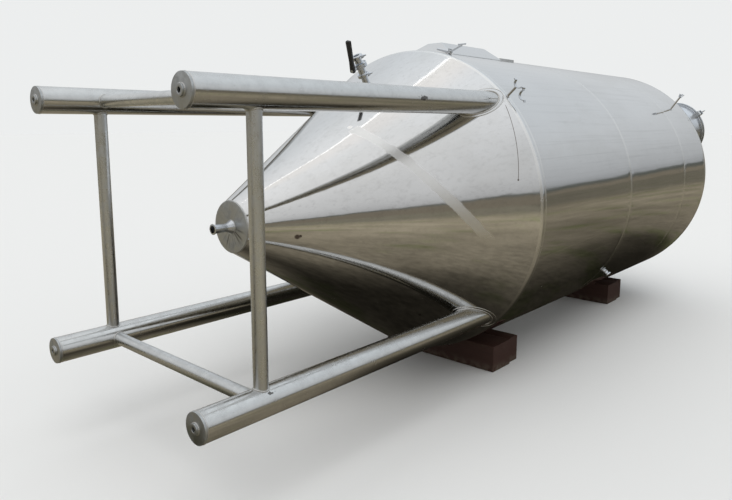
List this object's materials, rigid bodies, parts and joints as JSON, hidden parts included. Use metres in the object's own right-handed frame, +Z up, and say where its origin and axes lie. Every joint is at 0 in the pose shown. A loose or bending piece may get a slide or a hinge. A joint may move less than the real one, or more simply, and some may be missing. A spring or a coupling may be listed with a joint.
{
  "type": "brewing tank lying on its side",
  "caption": "Jacketed conical-bottomed brewing tank on its side on timber blocks, with legs, cross braces, outlet, racking valve and hinged manway.",
  "frame": {"origin": "on the ground, under the middle of the outline of the tank as it lies", "axes": "+Z up as the tank lies; the tank's own axis runs along X, with the outlet and feet towards -X and the domed head towards +X; the fittings side faces +Z"},
  "size_m": [5.4826, 1.83, 2.0683],
  "materials": {
    "shell_steel": "fine brushed cladding sheet, polished weld bands",
    "tube_steel": "satin tube, dusty",
    "plate_steel": "matt plate, streaked",
    "bright_steel": "bright polished fittings",
    "black_grip": "moulded black grip",
    "gasket_rubber": "white food rubber",
    "block_timber": "rough sawn timber, red-brown paint, weathered"
  },
  "bodies": {
    "tank": {"cone_shell_tip": "shell_steel", "cone_shell_narrow": "shell_steel", "cone_shell_wide": "shell_steel", "shell_course_lower": "shell_steel", "shell_course_middle": "shell_steel", "shell_course_upper": "shell_steel", "top_head": "shell_steel", "cone_end_plate": "plate_steel", "outlet_nozzle": "bright_steel", "leg_upper_near": "tube_steel", "leg_upper_far": "tube_steel", "leg_lower_near": "tube_steel", "leg_lower_far": "tube_steel", "leg_pad_upper_near": "shell_steel", "leg_pad_upper_far": "shell_steel", "leg_pad_lower_near": "shell_steel", "leg_pad_lower_far": "shell_steel", "foot_plate_upper_near": "plate_steel", "foot_plate_upper_far": "plate_steel", "foot_plate_lower_near": "plate_steel", "foot_plate_lower_far": "plate_steel", "brace_upper": "tube_steel", "brace_lower": "tube_steel", "brace_near": "tube_steel", "brace_far": "tube_steel", "raised_cover": "shell_steel", "ridge_lug": "tube_steel", "manway_collar": "bright_steel", "manway_gasket": "gasket_rubber", "manway_hinge_bracket": "tube_steel", "manway_hinge_pin": "bright_steel", "manway_clamp_lug": "tube_steel", "racking_port_neck": "bright_steel", "racking_valve_body": "bright_steel", "racking_clamp_ring": "bright_steel", "side_port": "bright_steel", "pipe_support_lower": "bright_steel", "pipe_support_upper": "bright_steel", "pipe_support_ridge": "bright_steel", "timber_block_cone_end": "block_timber", "timber_block_head_end": "block_timber"},
    "manway_door": {"manway_lid": "bright_steel", "manway_clamp_screw": "bright_steel"},
    "valve_handle": {"racking_valve_disc": "bright_steel", "racking_valve_lever": "black_grip"}
  },
  "joints": [
    {"name": "manway_hinge", "type": "hinge", "parent": "tank", "child": "manway_door", "pos_m": [2.7233, -0.34812, 1.34573], "axis": [0, 0.599, 0.8007], "range_deg": [0, 105]},
    {"name": "racking_valve_turn", "type": "hinge", "parent": "tank", "child": "valve_handle", "pos_m": [-1.20419, 0, 1.88694], "axis": [0.8617, 0, 0.5074], "range_deg": [-15, 75]}
  ]
}
